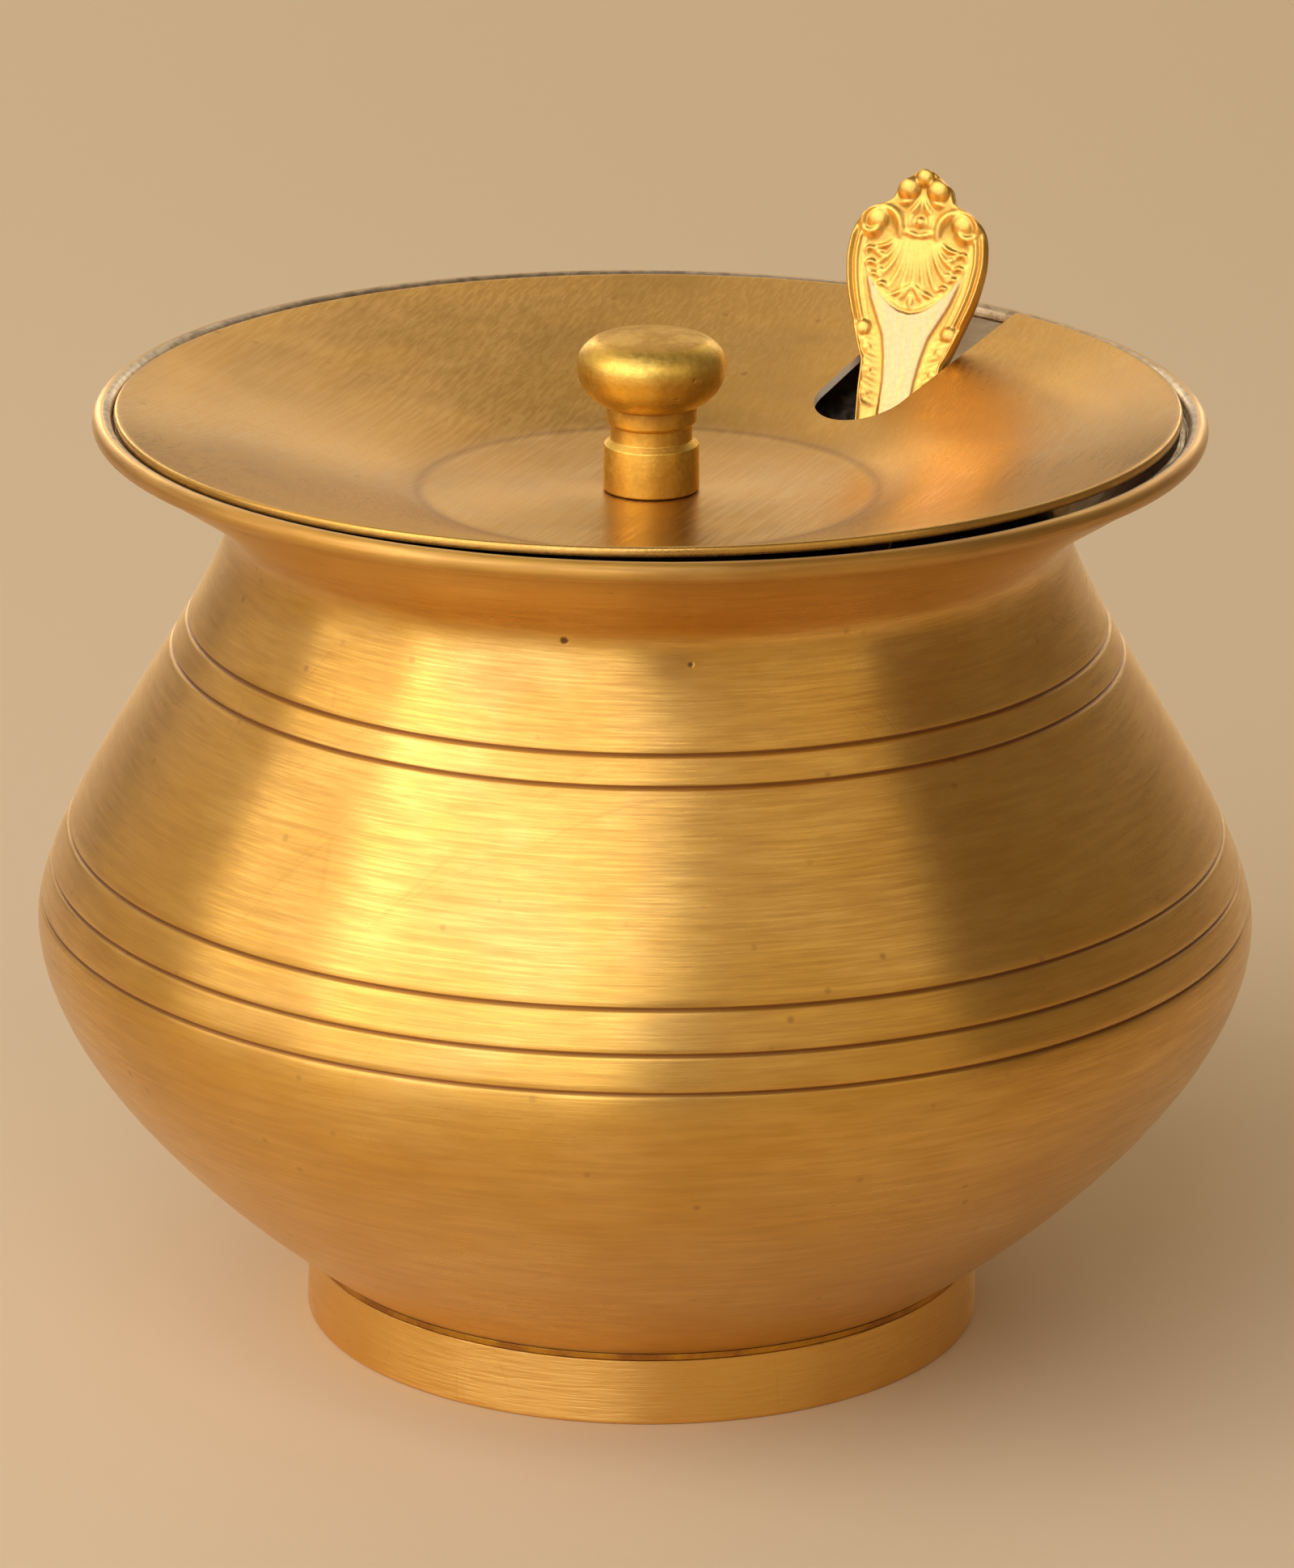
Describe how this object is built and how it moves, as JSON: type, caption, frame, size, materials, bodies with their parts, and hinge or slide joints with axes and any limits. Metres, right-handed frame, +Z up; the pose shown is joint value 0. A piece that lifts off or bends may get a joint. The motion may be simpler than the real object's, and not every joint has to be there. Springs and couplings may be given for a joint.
{
  "type": "ghee pot",
  "caption": "Round metal pot with a flared mouth on a ring foot, with a dished lid, a turned knob and a spoon that hangs through a notch in the lid.",
  "frame": {"origin": "the middle of the foot ring, on the surface that the pot stands on", "axes": "+Z up along the pot's turning axis; -Y is the front, as the picture sees it; +X is to the right"},
  "size_m": [0.114, 0.114, 0.1026],
  "materials": {
    "body_brass": "satin, turned",
    "foot_brass": "satin, filed",
    "braze": "dull",
    "tin": "dull, wiped tin",
    "lid_brass": "dull satin, spun",
    "knob_brass": "polished",
    "fixing_brass": "satin",
    "spoon_brass": "cast, polished"
  },
  "bodies": {
    "pot": {"pot_body": "body_brass", "tin_lining": "tin", "foot_ring": "foot_brass", "foot_braze": "braze"},
    "lid": {"lid_dish": "lid_brass", "lid_knob": "knob_brass", "knob_washer": "fixing_brass", "knob_screw": "fixing_brass"},
    "spoon": {"spoon": "spoon_brass"}
  },
  "joints": [
    {"name": "lid_lift", "type": "slide", "parent": "pot", "child": "lid", "axis": [0, 0, 1], "range_m": [0, 0.1]},
    {"name": "spoon_lift", "type": "slide", "parent": "lid", "child": "spoon", "axis": [0.1523, 0.4056, 0.9013], "range_m": [0, 0.034]}
  ]
}
